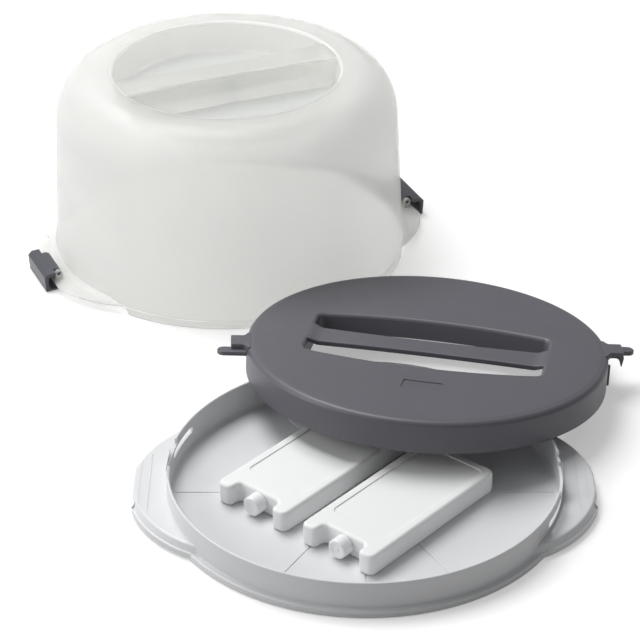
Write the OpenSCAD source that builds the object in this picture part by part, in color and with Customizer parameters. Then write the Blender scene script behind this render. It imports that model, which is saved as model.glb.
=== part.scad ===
// Round cake carrier, taken apart: a tray with two ice packs, a chilling disc
// leaning on the tray's rim, and a translucent dome with two hinged side latches.
// Origin: centre of the tray's underside. +X: towards the tray's right ear. +Z: up.

/* [Tray] */
// Outer radius of the tray's rim wall
rim_r = 165; // [150:1:180]
// Height of the rim above the table
rim_h = 30.5; // [28:0.5:40]
// Thickness of the rim wall
rim_wall = 2.4; // [1.8:0.1:3]
// Thickness of the tray's floor
floor_t = 2.5; // [1.8:0.1:4]
// Width of the foot flange outside the rim wall
foot_w = 5; // [3:0.5:8]
// Height of the foot flange, on which the dome's lip sits when closed
foot_h = 6.5; // [5:0.5:7]
// Width of the dividing lines in the floor
score_w = 1.3; // [0.5:0.1:2]
// Depth of the dividing lines in the floor
score_d = 0.7; // [0.3:0.1:1]
// Number of large portions marked by the dividing lines
large_portions = 4; // [2:1:5]
// Number of small portions marked by the dividing lines
small_portions = 6; // [3:1:10]

/* [Ears] */
// How far an ear's straight outer edge stands out from the rim wall
ear_out = 28; // [26:0.5:35]
// Length of an ear's straight outer edge
ear_edge = 58; // [56:1:70]
// Radius of an ear's curved sides
ear_curve_r = 107; // [100:1:120]
// Thickness of the tray's ear plate
ear_t = 2.6; // [2:0.1:3]
// Thickness of the skirt below the tray ear's curved sides
ear_skirt_t = 2; // [1.5:0.1:3]
// Gap between the table and the tray ear's skirt
ear_skirt_gap = 2; // [1:0.5:5]
// Width of the bead below the tray ear's outer edge
bead_w = 2.4; // [1.5:0.1:4]
// Depth of the bead below the tray ear's plate
bead_d = 0.9; // [0.5:0.1:1]
// Distance of the ear's score line from its outer edge
ear_line_in = 15; // [8:1:20]

/* [Ice packs] */
// Length of an ice pack
pack_l = 163; // [140:1:170]
// Width of an ice pack
pack_w = 75; // [60:1:80]
// Height of an ice pack
pack_h = 20; // [16:1:22]
// Radius of an ice pack's rounded edges
pack_round = 3; // [1:0.5:5]
// Wall of an ice pack's shell
pack_wall = 2; // [1.5:0.1:3]
// Width of the recess in an ice pack's front end
recess_w = 44; // [36:1:50]
// Depth of the recess in an ice pack's front end
recess_d = 12; // [8:0.5:16]
// Depth of the sunk panel in an ice pack's top
panel_d = 0.7; // [0.3:0.1:1]
// Diameter of the filler plug's cap
cap_d = 17; // [12:0.5:18]
// Diameter of the filler neck's bore
neck_d = 9; // [6:0.5:10]
// Direction of the packs' long side, from +X
pack_turn = 49.5; // [40:0.5:60]
// Free gap between the two packs
pack_gap = 17; // [5:1:22]

/* [Disc] */
// Height of the disc
disc_h = 29; // [24:0.5:34]
// Radial clearance between the disc's skirt and the rim wall
disc_clear = 2.6; // [1.5:0.1:4]
// Thickness of the disc's skirt
skirt_t = 2.4; // [1.8:0.1:3]
// Thickness of the disc's top plate
plate_t = 2.5; // [2:0.1:4]
// Radius of the disc's rounded top edge
disc_round = 5; // [2:0.5:8]
// Length of the handle opening
slot_l = 209; // [160:1:220]
// Width of the handle opening at its middle
slot_w = 99; // [80:1:110]
// How much each side of the opening bulges out at its middle
slot_sag = 11; // [5:0.5:15]
// Width of the grip bar at its middle
grip_w = 25; // [20:1:32]
// How much each side of the grip bar flares out at its ends
grip_flare = 3; // [0:0.5:6]
// Depth of the grip bar below the disc's top
grip_drop = 3; // [1:0.5:6]
// Height of the grip bar's side flanges
grip_h = 4.5; // [3.5:0.5:18]
// Angle of the grip bar, from +X
grip_turn = -11; // [-20:1:0]
// Angle of the two lugs, from +X
lug_turn = 2; // [-5:1:8]
// How far a lug's tongue stands out from the rim wall
lug_out = 21; // [15:1:25]
// Width of a lug's block
lug_w = 20; // [14:1:22]

/* [Dome] */
// Outer height of the dome
dome_h = 188; // [160:1:220]
// Thickness of the dome's wall
dome_wall = 1.8; // [1.4:0.1:2.4]
// Radial clearance between the rim wall and the dome's wall
rim_clear = 3.7; // [2:0.1:5]
// How far the lip stands out from the dome's wall
lip_step = 1.5; // [1:0.1:2.5]
// Height of the dome's lip band
lip_h = 10; // [10:0.5:14]
// How much narrower the dome is at its shoulder than at its lip
dome_taper = 6; // [2:0.5:10]
// Height at which the shoulder starts
shoulder_z = 138; // [120:1:150]
// Radial width of the rounded shoulder
shoulder_w = 38.5; // [28:0.5:52]
// Radius of the round well in the top
well_r = 108.5; // [95:0.5:120]
// Depth of the round well
well_d = 30; // [20:1:35]
// How much narrower the well is at its floor
well_taper = 3.5; // [1:0.5:6]
// Width of the ridge handle at its middle
ridge_w = 27; // [22:1:34]
// How much each side of the ridge flares out at its ends
ridge_flare = 5; // [1:0.5:8]
// Depth of the ridge's top below the well's mouth
ridge_drop = 1; // [0.5:0.5:5]
// Thickness of the dome's ear plate
dome_ear_t = 2.5; // [2:0.1:3]
// How far the dome's ear stays inside the tray ear's outer edge
dome_ear_in = 3; // [2:0.5:6]
// Angle of the ridge and the latches, from +X
dome_turn = 23.5; // [15:0.5:30]

/* [Latches] */
// Length of a latch along the ear's edge
latch_l = 52; // [46:1:54]
// Length of the hinge knuckle between the two lugs
knuckle_l = 35; // [28:1:38]
// Radius of the hinge knuckle
knuckle_r = 3.6; // [3:0.1:4]
// Height of the hinge axis above the dome's ear
hinge_up = 5.2; // [5:0.1:6]
// Distance of the hinge axis inside the latch's outer face
hinge_in = 16; // [15:0.5:18]
// Distance of the latch's outer face outside the tray ear's edge
latch_out = 7; // [6:0.5:9]
// Thickness of the latch's leg and arm
latch_t = 3.8; // [2.6:0.1:4]
// Radius of the hinge pins
pin_r = 1.8; // [1.5:0.1:2]
// Thickness of a hinge lug
hinge_lug_t = 3.5; // [3:0.5:4]

/* [Fits] */
// Radial clearance of the hinge pins in their bores
pin_clear = 0.07; // [0.02:0.01:0.1]
// Clearance between the latch's knuckle and a hinge lug
side_clear = 0.4; // [0.2:0.1:0.6]
// Clearance between parts that rest on each other
seat_clear = 0.3; // [0.1:0.1:0.4]
// Radial clearance of the plug in the filler neck
plug_clear = 0.1; // [0.05:0.01:0.2]

/* [Layout] */
// Place of the packs' middle, to the right of the tray's centre
packs_x = -6.5; // [-12:0.5:5]
// Place of the packs' middle, behind the tray's centre
packs_y = -4.5; // [-12:0.5:5]
// Place of the leaning disc's centre, to the right of the tray's centre
disc_x = 57; // [45:1:65]
// Place of the leaning disc's centre, behind the tray's centre
disc_y = 160; // [155:1:170]
// Distance between the disc's skirt and the dome's lip
dome_gap = 4.2; // [3:0.1:20]
// Direction from the disc's centre to the dome's centre
dome_dir = 123; // [115:1:130]

/* [Hidden] */

$fn = 96;
// Overrun of a cutting shape past the face that it cuts
over = 1;
// Steps in an eighth of a turn of a profile's arc
arc_steps = 5;

// Tray
foot_r = rim_r + foot_w;
rim_in = rim_r - rim_wall;
edge_round = rim_wall / 2;
ear_reach = rim_r + ear_out;
floor_round = 4;
foot_round = 1.5;
ear_top = 2 * foot_h + seat_clear;
ear_under = ear_top - ear_t;
ear_c = ear_reach - sqrt(pow(ear_curve_r, 2) - pow(ear_edge / 2, 2));
ear_line_w = 1;
ear_line_d = 0.4;
// Angles of the dividing lines: those of the small portions, and those of the
// large portions that aren't among them
score_turns = concat(
    [for (i = [0:small_portions - 1]) i * 360 / small_portions],
    [for (i = [0:large_portions - 1])
        if (i * small_portions % large_portions != 0) i * 360 / large_portions]);
// Notch in the rim for a lug of the disc, and the shallow step beside it
lug_t = 6;
tongue_t = 4;
tongue_drop = 5.5;
tongue_w = 12;
tongue_shift = 10;
disc_top = floor_t + disc_h;
notch_z = disc_top - tongue_drop - tongue_t - seat_clear;
notch_w = lug_w + 4;
step_z = disc_top - lug_t - seat_clear;
step_from = -14;
step_to = 7;
// Window in the rim beside each notch
window_from = -26;
window_to = -10;
window_h = 6;
window_z = notch_z - window_h + 1;

// Ice packs
cap_l = recess_d - 0.5;
stem_l = pack_wall + 1;
neck_r = neck_d / 2;
recess_round = 4;
panel_in = 8;
panel_front = 30;
panel_round = 5;
pack_mid_x = pack_w / 2 + pack_gap / 2;

// Disc
disc_r = rim_in - disc_clear;
collar_t = 2.2;
grip_flange_t = 2;
// Straight steps in each half of the grip bar's curved sides
grip_steps = 6;
grip_z = disc_h - grip_drop;
badge_l = 36;
badge_w = 17;
badge_d = 0.6;
badge_out = 88;
badge_side = 9;
lug_reach = rim_r + lug_out;
block_r = rim_r + 9;
hook_w = 3;
hook_h = 9;
hook_shift = -7;
rib_w = 4;
rib_out = disc_clear - 0.6;
rib_z = 3;
rib_top = 7;
rib_turn = -8;

// Lean of the disc: its skirt crosses the rim wall at lean_s along the line of
// the two centres, and touches the table at its far edge.
lean_dist = norm([disc_x, disc_y]);
lean_dir = atan2(disc_y, disc_x);
skirt_in = disc_r - skirt_t;
lean_s = (pow(lean_dist, 2) + pow(rim_r, 2) - pow(skirt_in, 2)) / (2 * lean_dist);
lean_rise = rim_h + seat_clear;
lean_first = atan(lean_rise / (lean_dist + disc_r - lean_s));
lean = atan(lean_rise / (lean_dist + disc_r * cos(lean_first) - lean_s));
table_gap = 0.05;
disc_z = disc_r * sin(lean) + table_gap;
// The collar of the handle opening ends above the rim that the disc leans on
collar_z = (rim_r - lean_s) * tan(lean) + seat_clear;

// Dome
wall_base_r = rim_r + rim_clear + dome_wall;
lip_r = wall_base_r + lip_step;
wall_top_r = wall_base_r - dome_taper;
shoulder_c = wall_top_r - shoulder_w;
shoulder_h = dome_h - shoulder_z;
mouth_a = acos(max(0, well_r - shoulder_c) / shoulder_w);
mouth_z = shoulder_z + shoulder_h * sin(mouth_a);
mouth_in_a = acos(max(0, well_r + dome_wall - shoulder_c) / (shoulder_w - dome_wall));
mouth_in_z = shoulder_z + (shoulder_h - dome_wall) * sin(mouth_in_a);
well_z = mouth_z - well_d;
well_floor_r = well_r - well_taper;
well_round = 4;
ridge_z = mouth_z - ridge_drop;
dome_ear_z = ear_top - foot_h + seat_clear;
dome_ear_top = dome_ear_z + dome_ear_t;
dome_ear_reach = ear_reach - dome_ear_in;
// Half length of the cut in the lip that lets the tray's ear pass
lip_cut = sqrt(pow(ear_curve_r, 2) - pow(ear_join_x(foot_r) - ear_c, 2)) + 1;
lip_cut_slope = 5;

// Latches, measured from the hinge axis
hinge_r = ear_reach + latch_out - hinge_in;
hinge_z = dome_ear_top + hinge_up;
hinge_lug_r = 3.8;
arm_top = 4.6;
arm_from = hinge_lug_r + 2 * side_clear;
corner_r = 3.2;
tip_r = 1.4;
tip_z = 0.6 - hinge_z;
leg_taper = 1;
claw_top = ear_under - bead_d - foot_h - seat_clear - hinge_z;
claw_l = 15;
claw_tip_t = 1.2;

dome_dist = disc_r + lip_r + dome_gap;
dome_x = disc_x + dome_dist * cos(dome_dir);
dome_y = disc_y + dome_dist * sin(dome_dir);

// X at which an ear's curved side meets a circle of radius r round the centre
function ear_join_x(r) = (r * r - ear_curve_r * ear_curve_r + ear_c * ear_c) / (2 * ear_c);

// Points of an elliptical arc about c with half axes rx and ry
function arc(c, rx, ry, from, to) =
    let (n = arc_steps * max(1, round(abs(to - from) / 45)))
    [for (i = [0:n]) let (a = from + (to - from) * i / n) c + [rx * cos(a), ry * sin(a)]];

// Rounded box centred on x and y, standing on z = 0
module rounded_box(l, w, h, r) {
    for (k = [[l, w - 2 * r, h - 2 * r], [l - 2 * r, w, h - 2 * r], [l - 2 * r, w - 2 * r, h]])
        translate([0, 0, h / 2])
            cube(k, center = true);
    for (x = [-1, 1], y = [-1, 1])
        translate([x * (l / 2 - r), y * (w / 2 - r), r])
            cylinder(r = r, h = h - 2 * r);
    for (y = [-1, 1], z = [r, h - r])
        translate([0, y * (w / 2 - r), z])
            rotate([0, 90, 0])
                cylinder(r = r, h = l - 2 * r, center = true);
    for (x = [-1, 1], z = [r, h - r])
        translate([x * (l / 2 - r), 0, z])
            rotate([90, 0, 0])
                cylinder(r = r, h = w - 2 * r, center = true);
    for (x = [-1, 1], y = [-1, 1], z = [r, h - r])
        translate([x * (l / 2 - r), y * (w / 2 - r), z])
            sphere(r = r);
}

// Flat plan with rounded corners
module rounded_plan(l, w, r) {
    square([l, w - 2 * r], center = true);
    square([l - 2 * r, w], center = true);
    for (x = [-1, 1], y = [-1, 1])
        translate([x * (l / 2 - r), y * (w / 2 - r)])
            circle(r = r);
}

// Wedge from the centre between two angles, out to radius r
module sector(from, to, r, z, h) {
    translate([0, 0, z])
        linear_extrude(height = h)
            polygon([[0, 0], r * [cos(from), sin(from)], r * [cos(to), sin(to)]]);
}

// Plan of one ear: a round side cut straight at its reach
module ear_plan(reach, inset) {
    intersection() {
        translate([ear_c, 0])
            circle(r = ear_curve_r - inset);
        translate([0, -ear_curve_r])
            square([reach, 2 * ear_curve_r]);
    }
}

// Both ears, 180 degrees apart
module both_sides() {
    for (a = [0, 180])
        rotate([0, 0, a])
            children();
}

module tray_bowl() {
    rotate_extrude()
        polygon(concat(
            [[0, 0], [foot_r - foot_round, 0], [foot_r, foot_round]],
            arc([foot_r - foot_round, foot_h - foot_round], foot_round, foot_round, 0, 90),
            [[rim_r, foot_h]],
            arc([rim_r - edge_round, rim_h - edge_round], edge_round, edge_round, 0, 180),
            arc([rim_in - floor_round, floor_t + floor_round], floor_round, floor_round, 0, -90),
            [[0, floor_t]]));
}

module tray_ear() {
    difference() {
        union() {
            translate([0, 0, ear_under])
                linear_extrude(height = ear_t)
                    ear_plan(ear_reach, 0);
            translate([0, 0, ear_skirt_gap])
                linear_extrude(height = ear_top - ear_skirt_gap)
                    difference() {
                        ear_plan(ear_reach, 0);
                        ear_plan(ear_reach + over, ear_skirt_t);
                    }
            translate([ear_reach - bead_w, -ear_edge / 2, ear_under - bead_d])
                cube([bead_w, ear_edge, ear_t + bead_d]);
        }
        translate([0, 0, -over])
            cylinder(r = rim_r - edge_round, h = rim_h);
        translate([ear_reach - ear_line_in, -ear_curve_r, ear_top - ear_line_d])
            cube([ear_line_w, 2 * ear_curve_r, ear_line_d + over]);
    }
}

// Notch, step and window for one lug of the disc
module rim_cuts() {
    translate([rim_in - over, -notch_w / 2, notch_z])
        cube([rim_wall + 2 * over, notch_w, rim_h]);
    for (c = [[step_from, step_to, step_z, rim_h], [window_from, window_to, window_z, window_h]])
        intersection() {
            sector(c[0], c[1], 2 * rim_r, c[2], c[3]);
            difference() {
                cylinder(r = rim_r + over, h = 2 * rim_h);
                translate([0, 0, -over])
                    cylinder(r = rim_in - floor_round, h = 3 * rim_h);
            }
        }
}

module tray() {
    color("#d9dbdb")
        difference() {
            union() {
                tray_bowl();
                both_sides()
                    tray_ear();
            }
            both_sides()
                rim_cuts();
            for (turn = score_turns)
                rotate([0, 0, turn])
                    translate([0, -score_w / 2, floor_t - score_d])
                        cube([rim_in - floor_round, score_w, score_d + over]);
        }
}

// Places a pack's own frame: its front end towards -x, its underside on the floor
module pack_place(side) {
    translate([packs_x, packs_y, floor_t])
        rotate([0, 0, pack_turn])
            translate([0, side * pack_mid_x, 0])
                children();
}

module pack_shell(side) {
    front = -pack_l / 2;
    color("#f3f4f4")
        pack_place(side)
            difference() {
                rounded_box(pack_l, pack_w, pack_h, pack_round);
                translate([front, 0, -over])
                    linear_extrude(height = pack_h + 2 * over)
                        rounded_plan(2 * recess_d, recess_w, recess_round);
                translate([front + recess_d + pack_wall, -pack_w / 2 + pack_wall, pack_wall])
                    cube([pack_l - recess_d - 2 * pack_wall, pack_w - 2 * pack_wall,
                          pack_h - 2 * pack_wall]);
                translate([(panel_front - panel_in) / 2, 0, pack_h - panel_d])
                    linear_extrude(height = panel_d + over)
                        rounded_plan(pack_l - panel_front - panel_in, pack_w - 2 * panel_in,
                                     panel_round);
                translate([front, 0, pack_h / 2])
                    rotate([0, 90, 0])
                        cylinder(r = neck_r, h = recess_d + pack_wall + over);
            }
}

module pack_plug(side) {
    color("#ededee")
        pack_place(side)
            translate([recess_d - pack_l / 2, 0, pack_h / 2])
                rotate([0, 90, 0]) {
                    translate([0, 0, -cap_l])
                        cylinder(d = cap_d, h = cap_l);
                    cylinder(r = neck_r - plug_clear, h = stem_l);
                }
}

module pack_coolant(side) {
    gap = pack_wall + seat_clear;
    fill_l = pack_l - recess_d - 2 * gap - (stem_l - pack_wall);
    color("#cfe3ee")
        pack_place(side)
            translate([pack_l / 2 - gap - fill_l, gap - pack_w / 2, pack_wall])
                cube([fill_l, pack_w - 2 * gap, pack_h - 2 * pack_wall - seat_clear]);
}

// Plan of the handle opening, with its sides and ends moved out by grow
module slot_plan(grow) {
    l = slot_l + 2 * grow;
    w = slot_w + 2 * grow;
    side_r = (pow(l / 2, 2) + pow(slot_sag, 2)) / (2 * slot_sag);
    intersection() {
        square([l, w], center = true);
        translate([0, w / 2 - side_r])
            circle(r = side_r, $fn = 4 * $fn);
        translate([0, side_r - w / 2])
            circle(r = side_r, $fn = 4 * $fn);
    }
}

module disc_body() {
    rotate_extrude()
        polygon(concat(
            [[skirt_in, 0], [disc_r, 0]],
            arc([disc_r - disc_round, disc_h - disc_round], disc_round, disc_round, 0, 90),
            [[0, disc_h], [0, disc_h - plate_t], [skirt_in - plate_t, disc_h - plate_t],
             [skirt_in, disc_h - 2 * plate_t]]));
}

// Lug: a block at the top edge, a lower tongue beside it, a hook and a skirt rib
module disc_lug() {
    translate([disc_r - skirt_t, -lug_w / 2, disc_h - lug_t])
        cube([block_r - disc_r + skirt_t, lug_w, lug_t - over]);
    translate([disc_r + skirt_t, tongue_shift - tongue_w / 2, disc_h - tongue_drop - tongue_t])
        cube([lug_reach - tongue_w / 2 - disc_r - skirt_t, tongue_w, tongue_t]);
    translate([lug_reach - tongue_w / 2, tongue_shift, disc_h - tongue_drop - tongue_t])
        cylinder(d = tongue_w, h = tongue_t);
    translate([block_r, hook_shift, disc_h - lug_t + over])
        rotate([0, -90, 0])
            linear_extrude(height = hook_w)
                polygon([[0, -hook_w], [0, hook_w], [-hook_h - over, 0]]);
    rotate([0, 0, rib_turn])
        translate([disc_r - over, -rib_w / 2, rib_z])
            cube([over + rib_out, rib_w, disc_h - rib_z - rib_top]);
}

// Plan of the grip bar, which draws in at its middle
module grip_plan(inset) {
    half_l = (slot_l + collar_t) / 2;
    side = [for (i = [-grip_steps:grip_steps])
        let (u = i / grip_steps) [u * half_l, grip_w / 2 + grip_flare * u * u - inset]];
    polygon(concat(side, -side));
}

module grip() {
    translate([0, 0, grip_z - plate_t])
        linear_extrude(height = plate_t)
            grip_plan(0);
    translate([0, 0, grip_z - grip_h])
        linear_extrude(height = grip_h)
            difference() {
                grip_plan(0);
                grip_plan(grip_flange_t);
            }
}

module disc() {
    color("#6a696f")
        translate([disc_x, disc_y, disc_z])
            rotate([0, 0, lean_dir])
                rotate([0, lean, 0])
                    rotate([0, 0, -lean_dir])
                        disc_flat();
}

module disc_flat() {
    difference() {
        union() {
            disc_body();
            rotate([0, 0, grip_turn])
                translate([0, 0, collar_z])
                    linear_extrude(height = disc_h - collar_z - plate_t / 2)
                        slot_plan(collar_t);
        }
        rotate([0, 0, grip_turn]) {
            translate([0, 0, -over])
                linear_extrude(height = disc_h + 2 * over)
                    slot_plan(0);
            translate([badge_side - badge_l / 2, -badge_out - badge_w / 2, disc_h - badge_d])
                cube([badge_l, badge_w, badge_d + over]);
        }
    }
    rotate([0, 0, grip_turn])
        grip();
    both_sides()
        rotate([0, 0, lug_turn])
            disc_lug();
}

// Places the dome's own frame: its lip on the table, its ears along x
module dome_place() {
    translate([dome_x, dome_y, 0])
        rotate([0, 0, dome_turn])
            children();
}

module dome_outside() {
    rotate_extrude()
        polygon(concat(
            [[0, 0], [lip_r, 0], [lip_r, lip_h - lip_step], [wall_base_r, lip_h]],
            arc([shoulder_c, shoulder_z], shoulder_w, shoulder_h, 0, mouth_a),
            [[well_r, mouth_z]],
            arc([well_floor_r - well_round, well_z + well_round], well_round, well_round, 0, -90),
            [[0, well_z]]));
}

module dome_inside() {
    rotate_extrude()
        polygon(concat(
            [[0, -over], [lip_r - dome_wall, -over], [lip_r - dome_wall, lip_h - lip_step - dome_wall],
             [wall_base_r - dome_wall, lip_h - dome_wall]],
            arc([shoulder_c, shoulder_z], shoulder_w - dome_wall, shoulder_h - dome_wall, 0,
                mouth_in_a),
            [[well_r + dome_wall, mouth_in_z], [well_floor_r + dome_wall, well_z - dome_wall],
             [0, well_z - dome_wall]]));
}

// Ridge across the well: straight, with sides that draw in at its middle.
// The shape is shrunk on all sides by the wall for the hollow below it.
module ridge(shrink, bottom) {
    side_r = (pow(well_r, 2) + pow(ridge_flare, 2)) / (2 * ridge_flare);
    end_w = ridge_w + 2 * ridge_flare - 2 * shrink;
    intersection() {
        translate([0, 0, bottom])
            cylinder(r = well_r + dome_wall / 2 + 2 * shrink, h = ridge_z - shrink - bottom);
        difference() {
            translate([0, 0, bottom + (ridge_z - shrink - bottom) / 2])
                cube([3 * well_r, end_w, ridge_z - shrink - bottom], center = true);
            for (y = [-1, 1])
                translate([0, y * (ridge_w / 2 - shrink + side_r), bottom - over])
                    cylinder(r = side_r, h = dome_h, $fn = 4 * $fn);
        }
    }
}

// Ear plate with two hinge lugs and their bores
module dome_ear() {
    translate([0, 0, dome_ear_z])
        linear_extrude(height = dome_ear_t)
            difference() {
                ear_plan(dome_ear_reach, 0);
                circle(r = wall_base_r - dome_wall / 2);
            }
    for (y = [-1, 1])
        difference() {
            translate([hinge_r, y * (knuckle_l + hinge_lug_t) / 2, 0]) {
                translate([0, 0, hinge_z])
                    rotate([90, 0, 0])
                        cylinder(r = hinge_lug_r, h = hinge_lug_t, center = true);
                translate([0, 0, (dome_ear_z + over + hinge_z) / 2])
                    cube([2 * hinge_lug_r, hinge_lug_t, hinge_z - dome_ear_z - over], center = true);
            }
            translate([hinge_r, 0, hinge_z])
                rotate([90, 0, 0])
                    cylinder(r = pin_r + pin_clear, h = latch_l, center = true);
        }
}

// Cut below an ear, with sloping ends, that lets the tray's ear pass the lip
module ear_cut() {
    translate([dome_ear_reach / 2, 0, 0])
        rotate([90, 0, 90])
            linear_extrude(height = dome_ear_reach)
                polygon([[-lip_cut - lip_cut_slope, -over], [lip_cut + lip_cut_slope, -over],
                         [lip_cut, dome_ear_z], [-lip_cut, dome_ear_z]]);
}

module dome() {
    color("#eef0ec", 0.45)
        dome_place()
            difference() {
                union() {
                    difference() {
                        union() {
                            dome_outside();
                            ridge(0, well_z - dome_wall / 2);
                        }
                        dome_inside();
                        ridge(dome_wall, well_z - dome_wall - over);
                    }
                    both_sides()
                        dome_ear();
                }
                both_sides()
                    ear_cut();
            }
}

// Bar of the latch's section, centred along the hinge axis
module latch_bar(length) {
    rotate([90, 0, 0])
        linear_extrude(height = length, center = true)
            children();
}

module latch() {
    leg_in = hinge_in - latch_t;
    tip_x = hinge_in - leg_taper - tip_r;
    latch_bar(latch_l)
        polygon(concat(
            [[arm_from, arm_top - latch_t], [arm_from, arm_top]],
            arc([hinge_in - corner_r, arm_top - corner_r], corner_r, corner_r, 90, 0),
            arc([tip_x, tip_z + tip_r], tip_r, tip_r, 0, -90),
            [[leg_in - claw_l, claw_top - claw_tip_t], [leg_in - claw_l, claw_top],
             [leg_in, claw_top], [leg_in, arm_top - latch_t]]));
    latch_bar(knuckle_l - 2 * side_clear) {
        circle(r = knuckle_r);
        translate([0, arm_top - latch_t])
            square([arm_from + over, latch_t - over / 2]);
    }
    rotate([90, 0, 0])
        cylinder(r = pin_r, h = knuckle_l + 2 * hinge_lug_t - 2 * side_clear, center = true);
}

// A latch in its place on the dome, at the ear in direction turn
module latch_at(turn) {
    color("#5b5c62")
        dome_place()
            rotate([0, 0, turn])
                translate([hinge_r, 0, hinge_z])
                    latch();
}

tray();
pack_shell(1);  // pack_left_shell
pack_plug(1);  // pack_left_plug
pack_coolant(1);  // pack_left_coolant
pack_shell(-1);  // pack_right_shell
pack_plug(-1);  // pack_right_plug
pack_coolant(-1);  // pack_right_coolant
disc();
dome();
latch_at(180);  // latch_left
latch_at(0);  // latch_right
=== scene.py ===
import math

import bmesh
import bpy
from mathutils import Matrix, Vector


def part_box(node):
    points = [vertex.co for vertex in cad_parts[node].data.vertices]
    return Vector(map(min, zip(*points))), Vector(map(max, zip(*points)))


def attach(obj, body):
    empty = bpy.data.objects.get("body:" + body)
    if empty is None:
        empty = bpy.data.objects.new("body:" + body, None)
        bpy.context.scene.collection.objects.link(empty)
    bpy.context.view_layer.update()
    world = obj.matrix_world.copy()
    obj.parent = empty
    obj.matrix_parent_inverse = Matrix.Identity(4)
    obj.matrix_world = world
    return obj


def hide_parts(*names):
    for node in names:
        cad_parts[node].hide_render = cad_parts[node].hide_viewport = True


# The looks of a round cake carrier, taken apart: a tray with two ice packs, a chilling
# disc that leans on the tray's rim, and a frosted dome with a hinged latch on each side.
# Sizes are in millimetres, and each piece is scaled to metres when it is put in place.
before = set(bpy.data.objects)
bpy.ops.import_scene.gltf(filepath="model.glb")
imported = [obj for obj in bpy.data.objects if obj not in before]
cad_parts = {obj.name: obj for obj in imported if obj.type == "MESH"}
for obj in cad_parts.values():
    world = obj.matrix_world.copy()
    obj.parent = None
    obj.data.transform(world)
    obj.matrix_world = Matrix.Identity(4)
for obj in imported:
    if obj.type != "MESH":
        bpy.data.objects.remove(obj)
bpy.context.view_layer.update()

MM = 0.001

# Steps round a full turn of a large piece and of a small one, and in a rounded edge
LARGE_TURN = 256
SMALL_TURN = 48
EDGE_STEPS = 5
# Edges that bend by more than this are drawn sharp
SHARP_ANGLE = math.radians(38)
# Overrun of a cutting shape past the face that it cuts
OVER = 2.0


# ---------------------------------------------------------------- sizes, from the frame

def size_of(node):
    """Lowest and highest corner of a CAD node, in millimetres."""
    low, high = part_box(node)
    return low / MM, high / MM


TRAY_HIGH = size_of("tray")[1]
DOME_LOW, DOME_HIGH = size_of("dome")

# Tray
RIM_H = TRAY_HIGH.z
RIM_R = 165.0
RIM_WALL = 2.4
RIM_IN = RIM_R - RIM_WALL
FLOOR_T = 2.5
FLOOR_ROUND = 4.0
FOOT_R = 170.0
FOOT_H = 6.5
FOOT_RING_R = 157.0
UNDER_DEPTH = 0.7
SCORE_W = 1.3
SCORE_D = 0.7
SCORE_FROM = 5.0
SCORE_END_R = 0.4
SCORE_ROLL = 0.3
# Fine groove round the foot and round the dome's lip
GROOVE_HALF = 0.4
GROOVE_D = 0.35
FOOT_GROOVE_Z = 3.2
LIP_GROOVE_Z = 4.6
LARGE_PORTIONS = 4
SMALL_PORTIONS = 6

# Ears, alike on the tray and on the dome
EAR_REACH = TRAY_HIGH.x
EAR_CURVE_R = 107.0
EAR_CURVE_X = 90.0
EAR_TOP = 13.3
EAR_T = 2.6
# Ear's outer face: height, how far in it lies at the curved sides and at the straight end
EAR_FACE = [(2.0, 0.3, 0.0), (2.4, 0.0, 0.0), (6.6, 0.0, 0.0), (7.1, 0.5, 0.0), (7.2, 1.5, 0.0),
            (8.2, 1.9, 0.1), (11.9, 3.4, 0.3), (12.7, 4.0, 0.7), (13.1, 4.7, 1.3), (13.3, 5.8, 2.2)]
# Hollow below the ear: height and distance in from the curved sides
EAR_HOLLOW = [(-2.0, 2.2), (6.4, 2.2), (9.8, 4.6), (10.7, 5.6)]
BEAD_W = 2.4
BEAD_D = 0.9
# Distance in from the ear's end and depth of each line on it, and their width
EAR_LINES = ((15.0, 0.45), (7.0, 0.3))
EAR_LINE_W = 1.1
EAR_LINE_R = 0.5
# How far the hollow's mouth and the lines stay from the ear's corners
EAR_END_IN = 3.0
# Nick under each corner of the ear
NICK_IN, NICK_HALF, NICK_R, NICK_ROOF = 3.4, 1.5, 0.7, 0.8

# Cuts in the rim, as angles from an ear's middle and heights
NOTCH_TURN = 4.15
NOTCH_Z = 21.7
STEP_FROM, STEP_TO = -14.0, 7.0
STEP_Z = 25.2
WINDOW_FROM, WINDOW_TO = -26.0, -10.0
WINDOW_LOW, WINDOW_HIGH = 16.7, 22.7

# Ice packs
PACK_L, PACK_W, PACK_H = 163.0, 75.0, 20.0
PACK_ROUND = 3.0
PACK_FRONT_R, PACK_REAR_R = 6.0, 7.0
RECESS_W, RECESS_D = 44.0, 12.0
RECESS_LIP_R, RECESS_R = 5.0, 4.5
PANEL_D = 0.9
PANEL_IN = 8.0
PANEL_FRONT = 30.0
PANEL_R = 5.0
PANEL_ROLL = 0.6
CAP_R, CAP_L = 8.5, 11.5
CAP_RIM_R, CAP_RIM_W = 1.4, 2.4
CAP_DISH_W, CAP_DISH_D = 1.2, 0.8
CAP_KNOB_R, CAP_KNOB_H = 1.6, 0.5
PACKS_TURN = 49.5
PACKS_AT = (-6.5, -4.5)
PACK_SIDE = 46.0

# Disc
DISC_R = 160.0
DISC_H = 29.0
SKIRT_T = 2.4
PLATE_T = 2.5
DISC_ROUND = 5.0
# Step between the rounded edge and the flat top, and the fillets at the skirt's foot and root
DISC_BRIM = 0.5
SKIRT_FOOT_R, SKIRT_ROOT_R = 0.8, 4.0
SLOT_L, SLOT_W, SLOT_SAG = 209.0, 99.0, 11.0
SLOT_ROLL = 4.0
SLOT_CORNER = 7.0
COLLAR_T = 2.2
COLLAR_Z = 9.9
GRIP_W, GRIP_FLARE, GRIP_H, GRIP_DROP = 25.0, 3.0, 4.5, 3.0
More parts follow.
